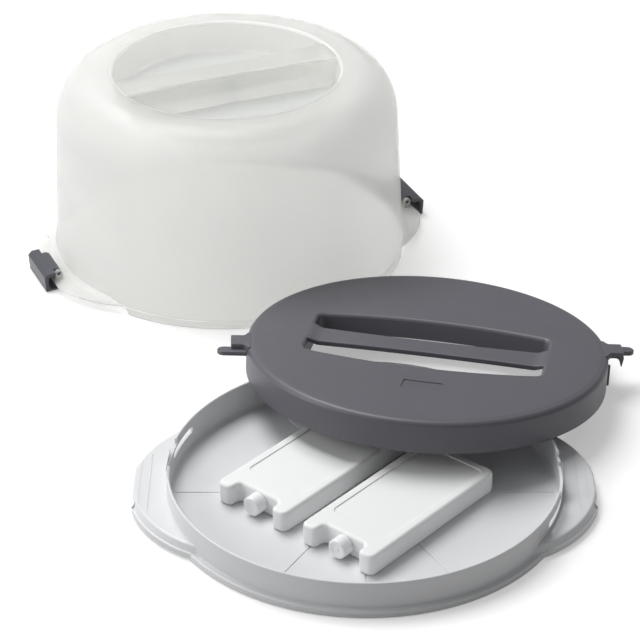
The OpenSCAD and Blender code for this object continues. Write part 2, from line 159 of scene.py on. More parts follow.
# Length over which the grip's top rises to the disc's top at each end, and its flare there
GRIP_RISE, GRIP_ROOT = 12.0, 4.0
GRIP_T = 2.0
GRIP_STEPS = 72
# Gap that keeps the grip's end just under the disc's top, and its rounded upper edges
GRIP_SINK = 0.04
GRIP_EDGE_R = 1.3
GRIP_TURN = -11.0
# Lug of the disc: where its block, its tongue and its hook lie, seen from above
LUG_TURN = 2.0
LUG_OUT, LUG_HALF, LUG_ROOT_HALF = 174.0, 10.0, 16.0
TONGUE_OUT, TONGUE_FROM, TONGUE_TO = 186.0, 4.0, 16.0
TONGUE_R = 5.9
HOOK_SIDE = -7.0
# Hook's sections: how far down, inner edge, half its width, how far its outer edge lies in
HOOK = ((0, 165.5, 3.6, 0), (1.2, 168.4, 3.4, 0), (2.6, 169.9, 3.0, 0.1), (5, 171.0, 2.2, 0.3),
        (8, 171.9, 1.2, 0.6), (9.9, 172.5, 0.5, 0.8))
RIB_TURN = -8.0
BADGE_L, BADGE_W, BADGE_D = 36.0, 17.0, 0.9
BADGE_R, BADGE_ROLL = 2.5, 0.4
BADGE_SIDE, BADGE_OUT = 9.0, 88.0
DISC_AT = (57.0, 160.0)

# Dome
DOME_TURN = 23.5
WALL = 1.8
LIP_R, LIP_H = 172.0, 10.0
WALL_BASE_R = 170.5
SHOULDER_C, SHOULDER_W = 126.0, 38.5
SHOULDER_Z = 138.0
MOUTH_Z = 188.0
SHOULDER_H = MOUTH_Z - SHOULDER_Z
WELL_R, WELL_FLOOR_R = 108.5, 105.0
WELL_Z = MOUTH_Z - 30.0
MOUTH_ROUND = 2.0
WELL_ROUND = 4.0
# Shallow panel in the well's floor, with the mark of the mould's gate in its middle
WELL_PANEL_R, WELL_PANEL_D = 98.0, 0.35
GATE_R, GATE_H = 2.0, 0.1
RIDGE_W, RIDGE_FLARE = 27.0, 5.0
RIDGE_Z = MOUTH_Z - 1.0
RIDGE_ROUND = 2.2
DOME_EAR_Z, DOME_EAR_T = 7.1, 2.5
DOME_EAR_REACH = 190.0
EAR_FILLET, EAR_HALF_TURN = 7.5, 32.0
# Cut in the lip below each ear: half its width, its slope and how near the middle it starts
LIP_CUT, LIP_CUT_SLOPE = 94.5, 5.0
LIP_CUT_FROM = 95.0
DOME_EAR_EDGE_LOW, DOME_EAR_EDGE_TOP = 0.5, 0.9
LUG_EDGE = 0.4

# Latches, from the hinge axis
HINGE_R, HINGE_Z = 184.0, 14.8
LATCH_L = 52.0
LUG_R, LUG_T = 3.8, 3.5
KNUCKLE_L, KNUCKLE_R = 35.0, 3.6
PIN_R = 1.8
BORE_R = 1.87
SIDE_CLEAR = 0.4
PIN_CHAMFER = 0.3
# Section of the arm, the leg, the finger lip and the claw: outwards, upwards and corner radius
LATCH_SECTION = [(4.6, 0.8, 0.5), (4.6, 4.6, 0.8), (12.4, 4.6, 1.6), (16.0, 1.0, 1.6),
                 (15.7, -5.0, 6.0), (15.3, -9.5, 4.0), (15.2, -14.1, 0.9), (13.3, -14.2, 0.9),
                 (8.0, -13.9, 3.0), (-2.8, -13.0, 0.5), (-2.8, -11.8, 0.3), (12.3, -11.8, 3.4),
                 (12.0, 0.8, 1.6)]


# ---------------------------------------------------------------- outlines

def arc(x, y, radius, start, end, steps=EDGE_STEPS, flat=1.0):
    """Points on an arc about (x, y) between two angles in degrees; flat scales its height."""
    turns = [math.radians(start + (end - start) * i / steps) for i in range(steps + 1)]
    return [(x + radius * math.cos(t), y + radius * flat * math.sin(t)) for t in turns]


def moved_in(points, inset):
    """The corners of an anticlockwise outline with every side moved inwards."""
    result = []
    for before, here, after in zip(points[-1:] + points[:-1], points, points[1:] + points[:1]):
        come = (Vector(here) - Vector(before)).normalized()
        go = (Vector(after) - Vector(here)).normalized()
        inwards = Vector((-come.y - go.y, come.x + go.x)) / (1 + come.dot(go))
        result.append(Vector(here) + inwards * inset)
    return result


def outline(corners, inset=0.0, steps=EDGE_STEPS):
    """Anticlockwise outline of (x, y, radius) corners, moved inwards by inset.

    A corner of radius 0 stays one point, so every inset gives as many points."""
    moved = moved_in([corner[:2] for corner in corners], inset)
    points = []
    for i, here in enumerate(moved):
        radius = corners[i][2]
        if not radius:
            points.append(tuple(here))
            continue
        before, after = moved[i - 1], moved[(i + 1) % len(moved)]
        back, ahead = (before - here).normalized(), (after - here).normalized()
        convex = (here - before).cross(after - here) > 0
        radius = max(0.1, radius - inset if convex else radius + inset)
        half = back.angle(ahead) / 2
        centre = here + (back + ahead).normalized() * radius / math.sin(half)
        start = here + back * radius / math.tan(half) - centre
        end = here + ahead * radius / math.tan(half) - centre
        first = math.atan2(start.y, start.x)
        sweep = math.remainder(math.atan2(end.y, end.x) - first, math.tau)
        for step in range(steps + 1):
            turn = first + sweep * step / steps
            points.append((centre.x + radius * math.cos(turn), centre.y + radius * math.sin(turn)))
    return points


def box_corners(x0, y0, x1, y1, radius):
    return [(x0, y0, radius), (x1, y0, radius), (x1, y1, radius), (x0, y1, radius)]


# ---------------------------------------------------------------- solids

def as_object(mesh_builder, name):
    """A linked object from a bmesh, with its faces turned outwards."""
    bmesh.ops.recalc_face_normals(mesh_builder, faces=mesh_builder.faces)
    mesh = bpy.data.meshes.new(name)
    mesh_builder.to_mesh(mesh)
    mesh_builder.free()
    result = bpy.data.objects.new(name, mesh)
    bpy.context.scene.collection.objects.link(result)
    return result


def loft(rings, name="form"):
    """Closed solid through rings of as many points each, capped at both ends."""
    builder = bmesh.new()
    loops = [[builder.verts.new(point) for point in ring] for ring in rings]
    count = len(loops[0])
    for low, high in zip(loops, loops[1:]):
        for i in range(count):
            j = (i + 1) % count
            builder.faces.new((low[i], low[j], high[j], high[i]))
    builder.faces.new(loops[0])
    builder.faces.new(loops[-1])
    return as_object(builder, name)


def revolve(profile, name="form", steps=LARGE_TURN):
    """Solid from a closed profile of (radius, height) points turned round the z axis."""
    builder = bmesh.new()
    rings = []
    for radius, height in profile:
        if radius < 1e-6:
            rings.append([builder.verts.new((0, 0, height))] * steps)
            continue
        turns = [math.tau * i / steps for i in range(steps)]
        rings.append([builder.verts.new((radius * math.cos(t), radius * math.sin(t), height))
                      for t in turns])
    for low, high in zip(rings, rings[1:] + rings[:1]):
        for i in range(steps):
            j = (i + 1) % steps
            corners = list(dict.fromkeys((low[i], low[j], high[j], high[i])))
            if len(corners) > 2:
                builder.faces.new(corners)
    return as_object(builder, name)


def at_height(points, z):
    return [(x, y, z) for x, y in points]


def slab(plan, low, high, bottom=0.0, top=0.0, name="form"):
    """Solid between two heights over plan(inset), with rounded edges below and above."""
    rings = []
    for i in range(EDGE_STEPS + 1 if bottom else 1):
        turn = math.radians(90 * i / EDGE_STEPS)
        rings.append(at_height(plan(bottom * (1 - math.sin(turn))), low + bottom * (1 - math.cos(turn))))
    for i in range(EDGE_STEPS + 1 if top else 1):
        turn = math.radians(90 * (1 - i / EDGE_STEPS))
        rings.append(at_height(plan(top * (1 - math.sin(turn))), high - top * (1 - math.cos(turn))))
    return loft(rings, name)


def rolled_cutter(plan, low, surface, roll, name="cutter"):
    """Cutting shape that leaves the opening's upper edge rolled by a radius."""
    rings = [at_height(plan(0), low)]
    for i in range(EDGE_STEPS + 1):
        turn = math.radians(90 * i / EDGE_STEPS)
        rings.append(at_height(plan(-roll * (1 - math.cos(turn))), surface - roll * (1 - math.sin(turn))))
    rings.append(at_height(plan(-roll), surface + OVER))
    return loft(rings, name)


def turned(obj, matrix):
    obj.data.transform(matrix)
    return obj


def about_z(degrees):
    return Matrix.Rotation(math.radians(degrees), 4, "Z")


def apply_modifiers(obj):
    graph = bpy.context.evaluated_depsgraph_get()
    mesh = bpy.data.meshes.new_from_object(obj.evaluated_get(graph))
    obj.modifiers.clear()
    old = obj.data
    obj.data = mesh
    bpy.data.meshes.remove(old)


def combine(target, others, operation):
    """Adds the other solids to the target, or cuts them out of it, and removes them."""
    for other in others:
        modifier = target.modifiers.new("combine", "BOOLEAN")
        modifier.operation = operation
        modifier.solver = "EXACT"
        modifier.object = other
        apply_modifiers(target)
        mesh = other.data
        bpy.data.objects.remove(other)
        bpy.data.meshes.remove(mesh)
    return target


def add(target, *others):
    return combine(target, others, "UNION")


def cut(target, *others):
    return combine(target, others, "DIFFERENCE")


def put_in_place(obj, name, body, material, matrix, replaced=()):
    """Names and scales a finished piece, shades it, and ties it to its body."""
    obj.data.transform(Matrix.Scale(MM, 4) @ matrix)
    obj.name = name
    obj.data.name = name
    obj.data.shade_smooth()
    obj.data.set_sharp_from_angle(angle=SHARP_ANGLE)
    normals = obj.modifiers.new("normals", "WEIGHTED_NORMAL")
    normals.keep_sharp = True
    apply_modifiers(obj)
    obj.data.materials.clear()
    obj.data.materials.append(material)
    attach(obj, body)
    if replaced:
        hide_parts(*replaced)
    return obj


# ---------------------------------------------------------------- materials

def colour(red, green, blue):
    """Linear colour from 0 to 255 screen values."""
    def linear(value):
        value /= 255
        return value / 12.92 if value <= 0.04045 else ((value + 0.055) / 1.055) ** 2.4
    return linear(red), linear(green), linear(blue), 1.0


# Patterns across a metre: the drift between two tones and the unevenness of the gloss
DRIFT_SCALE = 9.0
WEAR_SCALE = 60.0
GRAIN_STRENGTH = 0.35
PLASTIC_IOR = 1.47


def plastic(name, base, shade, roughness, grain=2200.0, relief=0.00004, spread=0.06):
    """Moulded plastic: a faint drift between two tones, a fine grain and uneven gloss."""
    material = bpy.data.materials.new(name)
    material.use_nodes = True
    nodes, links = material.node_tree.nodes, material.node_tree.links
    surface = nodes["Principled BSDF"]
    surface.inputs["IOR"].default_value = PLASTIC_IOR
    place = nodes.new("ShaderNodeTexCoord")

    drift = nodes.new("ShaderNodeTexNoise")
    drift.inputs["Scale"].default_value = DRIFT_SCALE
    drift.inputs["Detail"].default_value = 3.0
    links.new(place.outputs["Object"], drift.inputs["Vector"])
    tones = nodes.new("ShaderNodeMix")
    tones.data_type = "RGBA"
    tones.inputs["A"].default_value = base
    tones.inputs["B"].default_value = shade
    links.new(drift.outputs["Fac"], tones.inputs["Factor"])
    links.new(tones.outputs["Result"], surface.inputs["Base Color"])

    wear = nodes.new("ShaderNodeTexNoise")
    wear.inputs["Scale"].default_value = WEAR_SCALE
    wear.inputs["Detail"].default_value = 4.0
    links.new(place.outputs["Object"], wear.inputs["Vector"])
    gloss = nodes.new("ShaderNodeMapRange")
    gloss.inputs["To Min"].default_value = roughness - spread
    gloss.inputs["To Max"].default_value = roughness + spread
    links.new(wear.outputs["Fac"], gloss.inputs["Value"])
    links.new(gloss.outputs["Result"], surface.inputs["Roughness"])

    fine = nodes.new("ShaderNodeTexNoise")
    fine.inputs["Scale"].default_value = grain
    fine.inputs["Detail"].default_value = 2.0
    links.new(place.outputs["Object"], fine.inputs["Vector"])
    bump = nodes.new("ShaderNodeBump")
    bump.inputs["Strength"].default_value = GRAIN_STRENGTH
    bump.inputs["Distance"].default_value = relief
    links.new(fine.outputs["Fac"], bump.inputs["Height"])
    links.new(bump.outputs["Normal"], surface.inputs["Normal"])
    return material


def frosted(name, base, shade, roughness, opacity, scatter):
    """Frosted plastic that lets part of what is behind it show."""
    material = plastic(name, base, shade, roughness, grain=900.0, relief=0.00005)
    surface = material.node_tree.nodes["Principled BSDF"]
    surface.inputs["Alpha"].default_value = opacity
    surface.inputs["Transmission Weight"].default_value = 0.3
    surface.inputs["Subsurface Weight"].default_value = 1.0
    surface.inputs["Subsurface Radius"].default_value = (1.0, 1.0, 1.0)
    surface.inputs["Subsurface Scale"].default_value = scatter
    return material


TRAY_GREY = plastic("tray_plastic", colour(222, 223, 224), colour(214, 215, 217), 0.34)
PACK_WHITE = plastic("pack_plastic", colour(239, 240, 240), colour(234, 235, 235), 0.48, grain=1500.0)
CAP_WHITE = plastic("cap_plastic", colour(243, 243, 244), colour(236, 237, 238), 0.36)
DISC_GREY = plastic("disc_plastic", colour(98, 97, 104), colour(92, 91, 98), 0.42,
                    grain=1700.0, relief=0.00006)
LATCH_GREY = plastic("latch_plastic", colour(88, 89, 95), colour(80, 81, 87), 0.36)
DOME_FROST = frosted("dome_plastic", colour(252, 253, 245), colour(249, 250, 241), 0.5, 0.39, 0.02)
# Denser copy of the dome's plastic for thick edges and ears, standing for the thicker plastic there, and a
# little darker as painted shade
DOME_EDGE_DENSE_PAINTED_SHADE = frosted("dome_plastic_edge_dense_painted_shade", colour(246, 247, 244), colour(242, 243, 240), 0.3, 0.6, 0.004)
# Darker copy of the dome's plastic for the well's floor: painted shade in the well
DOME_FLOOR_PAINTED_SHADE = frosted("dome_plastic_floor_painted_shade", colour(220, 222, 219), colour(215, 218, 216), 0.4, 0.52, 0.01)


# ---------------------------------------------------------------- tray

def ear_plan(reach, inset_curve, inset_end, inner):
    """Ear's plan: two curved sides, a straight outer end, and an inner arc in the wall."""
    radius = EAR_CURVE_R - inset_curve
    end_x = reach - inset_end
    inner_x = (inner ** 2 - radius ** 2 + EAR_CURVE_X ** 2) / (2 * EAR_CURVE_X)
    from_turn = math.degrees(math.acos((inner_x - EAR_CURVE_X) / radius))
    to_turn = math.degrees(math.acos((end_x - EAR_CURVE_X) / radius))
    side = arc(EAR_CURVE_X, 0, radius, to_turn, from_turn, steps=24)
    inner_turn = math.degrees(math.atan2(side[-1][1], side[-1][0]))
    seat = arc(0, 0, inner, inner_turn, -inner_turn, steps=40)
    return side + seat[1:-1] + [(x, -y) for x, y in reversed(side)]


def groove(radius, height):
    """Fine groove round a wall, for a profile that climbs it."""
    return [(radius, height - GROOVE_HALF), (radius - GROOVE_D, height), (radius, height + GROOVE_HALF)]


def tray_bowl():
    foot_round = 1.5
    fillet = 1.2
    bead = 1.2
    return revolve(
        [(0, UNDER_DEPTH), (FOOT_RING_R - UNDER_DEPTH, UNDER_DEPTH), (FOOT_RING_R, 0)]
        + arc(FOOT_R - foot_round, foot_round, foot_round, -90, 0)
        + groove(FOOT_R, FOOT_GROOVE_Z) + arc(FOOT_R - foot_round, FOOT_H - foot_round, foot_round, 0, 90)
        + arc(RIM_R + fillet, FOOT_H + fillet, fillet, -90, -180)
        + arc(RIM_R - bead, RIM_H - bead, bead, 0, 180, steps=2 * EDGE_STEPS)
        + arc(RIM_IN - FLOOR_ROUND, FLOOR_T + FLOOR_ROUND, FLOOR_ROUND, 0, -90)
        + [(0, FLOOR_T)])


def tray_ear():
    """Ear plate with a sloped, stepped skirt, hollow below, a bead at its end and two lines."""
    inner = RIM_R - RIM_WALL / 2
    ear = loft([at_height(ear_plan(EAR_REACH, curve, end, inner), z) for z, curve, end in EAR_FACE])
    hollow = loft([at_height(ear_plan(EAR_REACH - BEAD_W, inset, 0, inner - 3), z)
                   for z, inset in EAR_HOLLOW])
    half_edge = math.sqrt(EAR_CURVE_R ** 2 - (EAR_REACH - EAR_CURVE_X) ** 2)
    half_open = half_edge - EAR_END_IN
    past_bead = slab(lambda inset: outline(box_corners(EAR_REACH - BEAD_W - 2, -half_open,
                                                       EAR_REACH + OVER, half_open, 0.5), inset),
                     -OVER, EAR_TOP - EAR_T - BEAD_D)
    cut(ear, hollow, past_bead)
    for line_in, depth in EAR_LINES:
        reach = half_edge + line_in - EAR_END_IN
        line = slab(lambda inset: outline(box_corners(EAR_REACH - line_in, -reach,
                                                      EAR_REACH - line_in + EAR_LINE_W, reach,
                                                      EAR_LINE_R), inset),
                    EAR_TOP - depth, EAR_TOP + OVER)
        cut(ear, line)
    for side in (-1, 1):
        nick = slab(lambda inset: outline(box_corners(EAR_REACH - NICK_IN, side * half_edge - NICK_HALF,
                                                      EAR_REACH + OVER, side * half_edge + NICK_HALF,
                                                      NICK_R), inset), -OVER, EAR_TOP - NICK_ROOF)
        cut(ear, nick)
    return ear


def wall_cut(corners):
    """Cutter through the rim wall, from corners of (turn, height, radius)."""
    across = outline([(RIM_R * math.radians(turn), z, radius) for turn, z, radius in corners],
                     steps=4)
    rings = []
    for r in (RIM_IN - OVER, RIM_R + OVER):
        rings.append([(r * math.cos(s / RIM_R), r * math.sin(s / RIM_R), z) for s, z in across])
    return loft(rings)


def tray():
    body = tray_bowl()
    for turn in (0, 180):
        add(body, turned(tray_ear(), about_z(turn)))
        high = RIM_H + OVER
        notch = wall_cut([(STEP_FROM, STEP_Z, 1.5), (-NOTCH_TURN, STEP_Z, 0.6),
                          (-NOTCH_TURN, NOTCH_Z, 0.8), (NOTCH_TURN, NOTCH_Z, 0.8),
                          (NOTCH_TURN, STEP_Z, 0.6), (STEP_TO, STEP_Z, 1.5), (STEP_TO, high, 0),
                          (STEP_FROM, high, 0)])
        window = wall_cut([(WINDOW_FROM, WINDOW_LOW, 2.5), (WINDOW_TO, WINDOW_LOW, 2.5),
                           (WINDOW_TO, WINDOW_HIGH, 2.5), (WINDOW_FROM, WINDOW_HIGH, 2.5)])
        cut(body, turned(notch, about_z(turn)), turned(window, about_z(turn)))
    turns = {360 * i / n for n in (LARGE_PORTIONS, SMALL_PORTIONS) for i in range(n)}
    reach = RIM_IN - FLOOR_ROUND
    for turn in sorted(turns):
        line = rolled_cutter(
            lambda inset: outline(box_corners(SCORE_FROM, -SCORE_W / 2, reach, SCORE_W / 2,
                                              SCORE_END_R), inset),
            FLOOR_T - SCORE_D, FLOOR_T, SCORE_ROLL)
        cut(body, turned(line, about_z(turn)))
    put_in_place(body, "tray_shell", "tray", TRAY_GREY, Matrix(), ["tray"])


# ---------------------------------------------------------------- ice packs

def pack_plan(inset):
    """Plan of a pack, with the recess for the cap in its front end."""
    half, side = PACK_L / 2, PACK_W / 2
    recess_x = RECESS_D - half
    recess_y = RECESS_W / 2
    return outline([(-half, -side, PACK_FRONT_R), (half, -side, PACK_REAR_R), (half, side, PACK_REAR_R),
                    (-half, side, PACK_FRONT_R), (-half, recess_y, RECESS_LIP_R),
                    (recess_x, recess_y, RECESS_R), (recess_x, -recess_y, RECESS_R),
                    (-half, -recess_y, RECESS_LIP_R)], inset)


def panel_plan(inset):
    return outline(box_corners(PANEL_FRONT - PACK_L / 2, PANEL_IN - PACK_W / 2,
                               PACK_L / 2 - PANEL_IN, PACK_W / 2 - PANEL_IN, PANEL_R), inset)


def pack_cap():
    """Filler cap with a dished face, along the x axis, its back at x = 0."""
    dish_r = CAP_R - CAP_RIM_W
    dish_low = CAP_L - CAP_DISH_D - 0.3
    cap = revolve(
        [(0, 0), (CAP_R - 0.5, 0), (CAP_R, 0.6)]
        + arc(CAP_R - CAP_RIM_R, CAP_L - CAP_RIM_R, CAP_RIM_R, 0, 90)
        + [(dish_r, CAP_L), (dish_r - CAP_DISH_W, CAP_L - CAP_DISH_D), (CAP_KNOB_R + 0.6, dish_low),
           (CAP_KNOB_R, dish_low + CAP_KNOB_H), (0, dish_low + CAP_KNOB_H + 0.1)],
        steps=SMALL_TURN)
    return turned(cap, Matrix.Rotation(math.radians(-90), 4, "Y"))


def packs():
    for name, side in (("left", 1), ("right", -1)):
        place = (Matrix.Translation((*PACKS_AT, FLOOR_T)) @ about_z(PACKS_TURN)
                 @ Matrix.Translation((0, side * PACK_SIDE, 0)))
        shell = slab(pack_plan, 0, PACK_H, PACK_ROUND, PACK_ROUND)
        cut(shell, rolled_cutter(panel_plan, PACK_H - PANEL_D, PACK_H, PANEL_ROLL))
        put_in_place(shell, f"pack_{name}_body", f"pack_{name}", PACK_WHITE, place,
                     [f"pack_{name}_shell", f"pack_{name}_coolant"])
        cap = turned(pack_cap(), Matrix.Translation((RECESS_D - PACK_L / 2, 0, PACK_H / 2)))
        put_in_place(cap, f"pack_{name}_cap", f"pack_{name}", CAP_WHITE, place,
                     [f"pack_{name}_plug"])


# ---------------------------------------------------------------- disc

def slot_plan(inset):
    """Plan of the handle opening: long sides that bulge, and rounded corners."""
    half = SLOT_L / 2
    bow_r = (half ** 2 + SLOT_SAG ** 2) / (2 * SLOT_SAG)
    corner_y = SLOT_W / 2 - SLOT_SAG
    lean_out = math.degrees(math.asin(half / bow_r))
    bow = arc(0, SLOT_W / 2 - bow_r, bow_r, 90 - lean_out, 90 + lean_out, steps=24)[2:-2]
    corners = ([(half, corner_y, SLOT_CORNER)] + [(x, y, 0) for x, y in bow]
               + [(-half, corner_y, SLOT_CORNER), (-half, -corner_y, SLOT_CORNER)]
               + [(-x, -y, 0) for x, y in bow] + [(half, -corner_y, SLOT_CORNER)])
    return outline(corners, inset)


def disc_plate():
    inner = DISC_R - SKIRT_T
    edge_r = DISC_R - DISC_ROUND
    under = DISC_H - PLATE_T
    return revolve(
        [(inner + 0.4, 0)] + arc(DISC_R - SKIRT_FOOT_R, SKIRT_FOOT_R, SKIRT_FOOT_R, -90, 0)
        + arc(edge_r, DISC_H - DISC_ROUND - DISC_BRIM, DISC_ROUND, 0, 82, steps=8)
        + [(edge_r - 1.5, DISC_H - DISC_BRIM), (edge_r - 2.2, DISC_H)]
        + [(0, DISC_H), (0, under)]
        + arc(inner - SKIRT_ROOT_R, under - SKIRT_ROOT_R, SKIRT_ROOT_R, 90, 0) + [(inner, 0.4)])


def eased(value):
    """Smooth rise from 0 to 1."""
    value = min(1.0, max(0.0, value))
    return value * value * (3 - 2 * value)


def grip_bar():
    """Grip across the opening: a shallow channel that draws in at its middle and rises at
    both ends to the disc's top."""
    reach = SLOT_L / 2 + SLOT_ROLL + 1
    rise_from = SLOT_L / 2 - GRIP_RISE + 3
    places = [-reach + 2 * reach * i / GRIP_STEPS for i in range(GRIP_STEPS + 1)]
    rings = []
    for x in places:
        end = eased((abs(x) - rise_from) / GRIP_RISE)
        top = DISC_H - GRIP_DROP + (GRIP_DROP - GRIP_SINK) * end
        low = top - GRIP_H + (GRIP_H - PLATE_T - 1) * end
        half = (GRIP_W / 2 + GRIP_FLARE * (x / reach) ** 2
                + GRIP_ROOT * max(0.0, (abs(x) - rise_from) / (reach - rise_from)) ** 2)
        across = outline([(-half, low, 0.4), (-half + GRIP_T, low, 0.4),
                          (-half + GRIP_T, top - PLATE_T, 0.6), (half - GRIP_T, top - PLATE_T, 0.6),
                          (half - GRIP_T, low, 0.4), (half, low, 0.4),
                          (half, top, GRIP_EDGE_R), (-half, top, GRIP_EDGE_R)])
        rings.append([(x, y, z) for y, z in across])
    return loft(rings)


def disc_lug():
    """Lug: block, lower tongue, pointed hook and the rib below it on the skirt."""
    edge = DISC_R - 4
    block = slab(lambda inset: outline([(edge, -LUG_ROOT_HALF, 0), (DISC_R - 1, -LUG_ROOT_HALF, 0.5),
                                        (DISC_R + 2, -LUG_HALF, 3), (LUG_OUT, -LUG_HALF, 1.6),
                                        (LUG_OUT, LUG_HALF, 1.6), (DISC_R + 2, LUG_HALF, 3),
                                        (DISC_R - 1, LUG_ROOT_HALF, 0.5), (edge, LUG_ROOT_HALF, 0)],
                                       inset),
                 DISC_H - 6, DISC_H - 0.5, 0.6, 1.0)
    tongue = slab(lambda inset: outline([(DISC_R, TONGUE_FROM, 0.5), (TONGUE_OUT, TONGUE_FROM, TONGUE_R),
                                         (TONGUE_OUT, TONGUE_TO, TONGUE_R), (DISC_R, TONGUE_TO, 0.5)],
                                        inset), DISC_H - 9.5, DISC_H - 5.5, 0.7, 1.2)
    hook = loft([at_height(outline(box_corners(inner_x, HOOK_SIDE - half, LUG_OUT - back,
                                               HOOK_SIDE + half, 0.3)), DISC_H - 5 - down)
                 for down, inner_x, half, back in HOOK])
    rib = slab(lambda inset: outline(box_corners(DISC_R - 1, -2, DISC_R + 2, 2, 0.6), inset),
               3, DISC_H - 7, 0.6, 0.6)
    return [block, tongue, hook, turned(rib, about_z(RIB_TURN))]


def lean_of_disc():
    """Matrix of the disc: it leans on the tray's rim and touches the table at its far edge."""
    rest_gap = 0.3
    table_gap = 0.05
    reach = math.hypot(*DISC_AT)
    towards = math.degrees(math.atan2(DISC_AT[1], DISC_AT[0]))
    inner = DISC_R - SKIRT_T
    crossing = (reach ** 2 + RIM_R ** 2 - inner ** 2) / (2 * reach)
    rise = RIM_H + rest_gap
    lean = math.atan(rise / (reach + DISC_R - crossing))
    lean = math.atan(rise / (reach + DISC_R * math.cos(lean) - crossing))
    height = DISC_R * math.sin(lean) + table_gap
    return (Matrix.Translation((*DISC_AT, height)) @ about_z(towards)
            @ Matrix.Rotation(lean, 4, "Y") @ about_z(-towards))


def disc():
    body = disc_plate()
    grip_turn = about_z(GRIP_TURN)
    collar = slab(lambda inset: slot_plan(inset - COLLAR_T), COLLAR_Z, DISC_H - PLATE_T / 2, 0.6)
    add(body, turned(collar, grip_turn))
    opening = rolled_cutter(slot_plan, -OVER, DISC_H, SLOT_ROLL)
    cut(body, turned(opening, grip_turn))
    add(body, turned(grip_bar(), grip_turn))
    badge = rolled_cutter(
        lambda inset: outline(box_corners(BADGE_SIDE - BADGE_L / 2, -BADGE_OUT - BADGE_W / 2,
                                          BADGE_SIDE + BADGE_L / 2, -BADGE_OUT + BADGE_W / 2, BADGE_R),
                              inset), DISC_H - BADGE_D, DISC_H, BADGE_ROLL)
    cut(body, turned(badge, grip_turn))
    for turn in (LUG_TURN, LUG_TURN + 180):
        for piece in disc_lug():
            add(body, turned(piece, about_z(turn)))
    put_in_place(body, "chilling_disc", "disc", DISC_GREY, lean_of_disc(), ["disc"])


# ---------------------------------------------------------------- dome

def dome_place():
    middle = (DOME_LOW + DOME_HIGH) / 2
    return Matrix.Translation((middle.x, middle.y, 0)) @ about_z(DOME_TURN)


def shoulder(inset, end_r, steps=28):
    """Points of the shoulder's curve, from the wall up to the flat ring round the mouth."""
    wide, high = SHOULDER_W - inset, SHOULDER_H - inset
    return arc(SHOULDER_C, SHOULDER_Z, wide, 0, 90, steps, high / wide) + [(end_r, SHOULDER_Z + high)]


def dome_outside():
    lip_round = 0.8
    mouth_r = WELL_R + MOUTH_ROUND
    return revolve(
        [(0, 0)] + arc(LIP_R - lip_round, lip_round, lip_round, -90, 0) + groove(LIP_R, LIP_GROOVE_Z)
        + arc(LIP_R - lip_round, LIP_H - 2.3, lip_round, 0, 60)
        + [(WALL_BASE_R, LIP_H)] + shoulder(0, mouth_r + 0.6)
        + arc(mouth_r, MOUTH_Z - MOUTH_ROUND, MOUTH_ROUND, 92, 183)
        + arc(WELL_FLOOR_R - WELL_ROUND, WELL_Z + WELL_ROUND, WELL_ROUND, 0, -90)
        + [(WELL_PANEL_R + 0.6, WELL_Z), (WELL_PANEL_R, WELL_Z - WELL_PANEL_D),
           (GATE_R + 0.4, WELL_Z - WELL_PANEL_D), (GATE_R, WELL_Z + GATE_H), (0, WELL_Z + GATE_H)])


def dome_inside():
    lip_in = LIP_R - WALL
    mouth_r = WELL_R + MOUTH_ROUND
    bend = WELL_ROUND + WALL
    return revolve(
        [(0, -OVER), (lip_in, -OVER), (lip_in, LIP_H - 2 - WALL), (WALL_BASE_R - WALL, LIP_H - WALL)]
        + shoulder(WALL, mouth_r + 0.4)
        + [(WELL_R + WALL, MOUTH_Z - MOUTH_ROUND)]
        + arc(WELL_FLOOR_R - WELL_ROUND, WELL_Z + WELL_ROUND, bend, 0, -90)
        + [(0, WELL_Z - WALL)])


def ridge(shrink, low, end_r):
    """Ridge across the well, narrowest at its middle, less shrink on every side."""
    steps = 32
    high = RIDGE_Z - shrink
    rounding = max(0.6, RIDGE_ROUND - shrink)
    rings = []
    for i in range(steps + 1):
        along = 2 * i / steps - 1
        half = RIDGE_W / 2 + RIDGE_FLARE * along ** 2 - shrink
        across = outline([(-half - 0.5, low, 0), (half + 0.5, low, 0), (half, high, rounding),
                          (-half, high, rounding)])
        rings.append([(along * math.sqrt(end_r ** 2 - y ** 2), y, z) for y, z in across])
    return loft(rings)


def ear_fillet():
    """Hollow blend between the dome's wall and its ear, smaller towards the ear's sides."""
    inner, root = WALL_BASE_R - WALL / 2, DOME_EAR_Z + DOME_EAR_T
    seat = WALL_BASE_R - 0.3
    rings = []
    steps = 60
    for i in range(steps + 1):
        turn = math.radians(EAR_HALF_TURN * (2 * i / steps - 1))
        across_curve = math.sqrt(EAR_CURVE_R ** 2 - (EAR_CURVE_X * math.sin(turn)) ** 2)
        side = EAR_CURVE_X * math.cos(turn) + across_curve
        edge = min(side, DOME_EAR_REACH / math.cos(turn))
        size = min(EAR_FILLET, max(0.4, 0.7 * (edge - WALL_BASE_R)))
        across = ([(inner, root - 1), (seat + size, root - 1)]
                  + arc(seat + size, root + size, size, -90, -180, steps=8) + [(inner, root + size)])
        rings.append([(r * math.cos(turn), r * math.sin(turn), z) for r, z in across])
    return loft(rings)


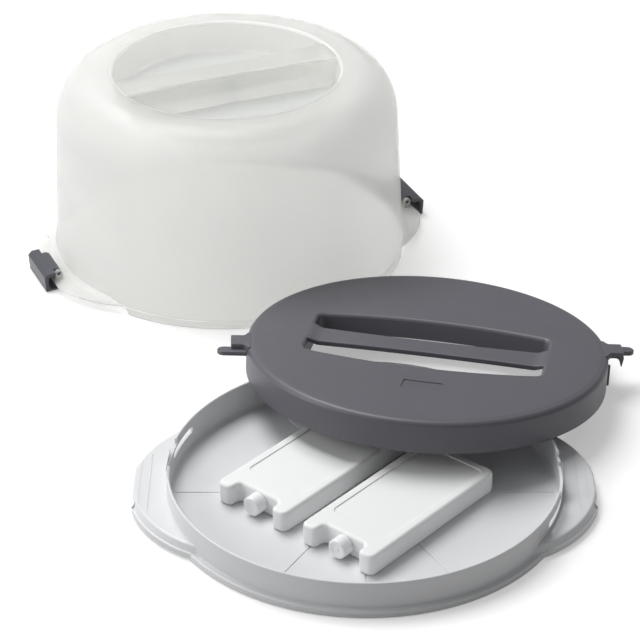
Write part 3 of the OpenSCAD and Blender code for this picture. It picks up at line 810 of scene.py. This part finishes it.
def dome_ear():
    """Ear plate of the dome with the two lugs that hold its latch."""
    inner = WALL_BASE_R - WALL / 2
    plate = slab(lambda inset: ear_plan(DOME_EAR_REACH, inset, inset, inner),
                 DOME_EAR_Z, DOME_EAR_Z + DOME_EAR_T, DOME_EAR_EDGE_LOW, DOME_EAR_EDGE_TOP)
    lying = Matrix.Rotation(math.radians(90), 4, "X")
    for side in (-1, 1):
        middle = side * (KNUCKLE_L + LUG_T) / 2
        lug = outline([(-LUG_R, DOME_EAR_Z + 1 - HINGE_Z, 0), (LUG_R, DOME_EAR_Z + 1 - HINGE_Z, 0)]
                      + [(x, z, 0) for x, z in arc(0, 0, LUG_R, 0, 180, steps=20)])
        lug = slab(lambda inset: moved_in(lug, inset), -LUG_T / 2, LUG_T / 2, LUG_EDGE, LUG_EDGE)
        bore = revolve([(0, -LUG_T), (BORE_R, -LUG_T), (BORE_R, LUG_T), (0, LUG_T)], steps=SMALL_TURN)
        cut(lug, bore)
        add(plate, turned(lug, Matrix.Translation((HINGE_R, middle, HINGE_Z)) @ lying))
    return add(plate, ear_fillet())


def dome_regions(body):
    """For each face 1 on a thick edge or an ear (denser, and a little darker as painted shade), 2 on the
    well's floor (darker, as painted shade) and 0 elsewhere.
    """
    regions = []
    for face in body.data.polygons:
        x, y, z = face.center
        radius = math.hypot(x, y)
        region = 0
        if z > MOUTH_Z - MOUTH_ROUND and WELL_R - 0.1 < radius < WELL_R + MOUTH_ROUND + 0.5:
            region = 1
        elif z > RIDGE_Z - RIDGE_ROUND - 0.1 and radius < WELL_R and 0.05 < abs(face.normal.z) < 0.97:
            region = 1
        elif radius > LIP_R - 0.5 and DOME_EAR_Z - 0.2 < z < HINGE_Z + LUG_R:
            region = 1
        elif radius < WELL_FLOOR_R and WELL_Z - WALL - 1 < z < WELL_Z + 1:
            region = 2
        regions.append(region)
    return regions


def dome():
    body = dome_outside()
    add(body, ridge(0, WELL_Z - WALL / 2 - 0.4, WELL_R + 1))
    cut(body, dome_inside(), ridge(WALL, WELL_Z - WALL - OVER, WELL_R + 4.2))
    for turn in (0, 180):
        add(body, turned(dome_ear(), about_z(turn)))
        sides = [(LIP_CUT + LIP_CUT_SLOPE, -OVER), (LIP_CUT, DOME_EAR_Z), (-LIP_CUT, DOME_EAR_Z),
                 (-LIP_CUT - LIP_CUT_SLOPE, -OVER)]
        passage = loft([[(x, y, z) for y, z in sides] for x in (LIP_CUT_FROM, DOME_EAR_REACH + OVER)])
        cut(body, turned(passage, about_z(turn)))
    regions = dome_regions(body)
    put_in_place(body, "dome_shell", "dome", DOME_FROST, dome_place(), ["dome"])
    # Regions 1 and 2 get the denser edge copy, partly painted shade, and the darker well-floor copy,
    # painted shade
    body.data.materials.append(DOME_EDGE_DENSE_PAINTED_SHADE)
    body.data.materials.append(DOME_FLOOR_PAINTED_SHADE)
    for face, region in zip(body.data.polygons, regions):
        face.material_index = region


# ---------------------------------------------------------------- latches

def chamfered_pin(radius, half):
    """Round bar about the z axis with a small chamfer at both ends."""
    return revolve([(0, -half), (radius - PIN_CHAMFER, -half), (radius, PIN_CHAMFER - half),
                    (radius, half - PIN_CHAMFER), (radius - PIN_CHAMFER, half), (0, half)],
                   steps=SMALL_TURN)


def latch():
    """Latch in its hinge's frame: arm, leg, finger lip and claw in one section, and its pin."""
    anticlockwise = list(reversed(LATCH_SECTION))
    lying = Matrix.Rotation(math.radians(90), 4, "X")
    body = slab(lambda inset: outline(anticlockwise, inset), -LATCH_L / 2, LATCH_L / 2, 0.7, 0.7)
    knuckle_half = KNUCKLE_L / 2 - SIDE_CLEAR
    knuckle = chamfered_pin(KNUCKLE_R, knuckle_half)
    web = slab(lambda inset: outline(box_corners(0, 1.3, 7, 4.4, 0.3), inset), -knuckle_half, knuckle_half)
    pin_half = KNUCKLE_L / 2 + LUG_T - SIDE_CLEAR
    add(body, knuckle, web, chamfered_pin(PIN_R, pin_half))
    return turned(body, lying)


def latches():
    for name, turn in (("right", 0), ("left", 180)):
        place = dome_place() @ about_z(turn) @ Matrix.Translation((HINGE_R, 0, HINGE_Z))
        put_in_place(latch(), f"latch_{name}_clip", f"latch_{name}", LATCH_GREY, place,
                     [f"latch_{name}"])


# ---------------------------------------------------------------- floor, light and camera

def linked_math(tree, operation, first, second):
    """Math node of a node tree with both its inputs linked."""
    node = tree.nodes.new("ShaderNodeMath")
    node.operation = operation
    tree.links.new(first, node.inputs[0])
    tree.links.new(second, node.inputs[1])
    return node.outputs["Value"]


def white_floor():
    """Floor that shows white to the camera, also far off, and keeps the object's shadow."""
    half = 6.0
    lit, lit_for_camera = 0.6, 0.75
    glow_near, glow_far = 0.37, 1.0
    near, far = 0.9, 1.8
    builder = bmesh.new()
    corners = [builder.verts.new((x, y, 0)) for x, y in
               ((-half, -half), (half, -half), (half, half), (-half, half))]
    builder.faces.new(corners)
    floor = as_object(builder, "floor")
    material = bpy.data.materials.new("floor_white")
    material.use_nodes = True
    nodes, links = material.node_tree.nodes, material.node_tree.links
    surface = nodes["Principled BSDF"]
    surface.inputs["Roughness"].default_value = 0.9
    surface.inputs["Specular IOR Level"].default_value = 0.1
    path = nodes.new("ShaderNodeLightPath")
    tone = nodes.new("ShaderNodeMapRange")
    tone.inputs["To Min"].default_value = lit
    tone.inputs["To Max"].default_value = lit_for_camera
    links.new(path.outputs["Is Camera Ray"], tone.inputs["Value"])
    links.new(tone.outputs["Result"], surface.inputs["Base Color"])

    tree = material.node_tree
    seen = linked_math(tree, "MAXIMUM", path.outputs["Is Camera Ray"], path.outputs["Is Glossy Ray"])
    seen = linked_math(tree, "MAXIMUM", seen, path.outputs["Is Transmission Ray"])
    place = nodes.new("ShaderNodeTexCoord")
    reach = nodes.new("ShaderNodeVectorMath")
    reach.operation = "LENGTH"
    links.new(place.outputs["Object"], reach.inputs[0])
    level = nodes.new("ShaderNodeMapRange")
    level.inputs["From Min"].default_value = near
    level.inputs["From Max"].default_value = far
    level.inputs["To Min"].default_value = glow_near
    level.inputs["To Max"].default_value = glow_far
    links.new(reach.outputs["Value"], level.inputs["Value"])
    strength = linked_math(tree, "MULTIPLY", seen, level.outputs["Result"])
    glow = nodes.new("ShaderNodeEmission")
    glow.inputs["Color"].default_value = (1, 1, 1, 1)
    links.new(strength, glow.inputs["Strength"])
    both = nodes.new("ShaderNodeAddShader")
    links.new(surface.outputs["BSDF"], both.inputs[0])
    links.new(glow.outputs["Emission"], both.inputs[1])
    links.new(both.outputs["Shader"], nodes["Material Output"].inputs["Surface"])
    floor.data.materials.append(material)


def world_light():
    world = bpy.data.worlds.new("studio")
    bpy.context.scene.world = world
    world.use_nodes = True
    nodes, links = world.node_tree.nodes, world.node_tree.links
    background = nodes["Background"]
    background.inputs["Color"].default_value = (1, 1, 1, 1)
    path = nodes.new("ShaderNodeLightPath")
    level = nodes.new("ShaderNodeMapRange")
    level.inputs["To Min"].default_value = 0.23
    level.inputs["To Max"].default_value = 1.0
    links.new(path.outputs["Is Camera Ray"], level.inputs["Value"])
    links.new(level.outputs["Result"], background.inputs["Strength"])


def soft_lamp(name, at, size, power):
    """Square lamp that faces the middle of the object."""
    aim = (0, 0.2, 0.05)
    lamp = bpy.data.lights.new(name, "AREA")
    lamp.shape = "SQUARE"
    lamp.size = size
    lamp.energy = power
    holder = bpy.data.objects.new(name, lamp)
    bpy.context.scene.collection.objects.link(holder)
    holder.location = at
    holder.rotation_euler = (Vector(aim) - Vector(at)).to_track_quat("-Z", "Y").to_euler()


def camera():
    lens_mm = 139.6
    pitch_down = 30.6
    eye_at = (-0.037, -1.716, 1.185)
    eye = bpy.data.cameras.new("camera")
    eye.lens = lens_mm
    eye.sensor_width = 36.0
    eye.clip_end = 50.0
    holder = bpy.data.objects.new("camera", eye)
    bpy.context.scene.collection.objects.link(holder)
    holder.location = eye_at
    holder.rotation_euler = (math.radians(90 - pitch_down), 0, 0)
    bpy.context.scene.camera = holder


bpy.context.scene.view_settings.view_transform = "Standard"
camera()
tray()
packs()
disc()
dome()
latches()
white_floor()
world_light()
soft_lamp("key", at=(-0.7, 0.95, 2.1), size=1.4, power=48.0)
soft_lamp("side", at=(-1.9, -0.2, 0.9), size=1.2, power=17.0)
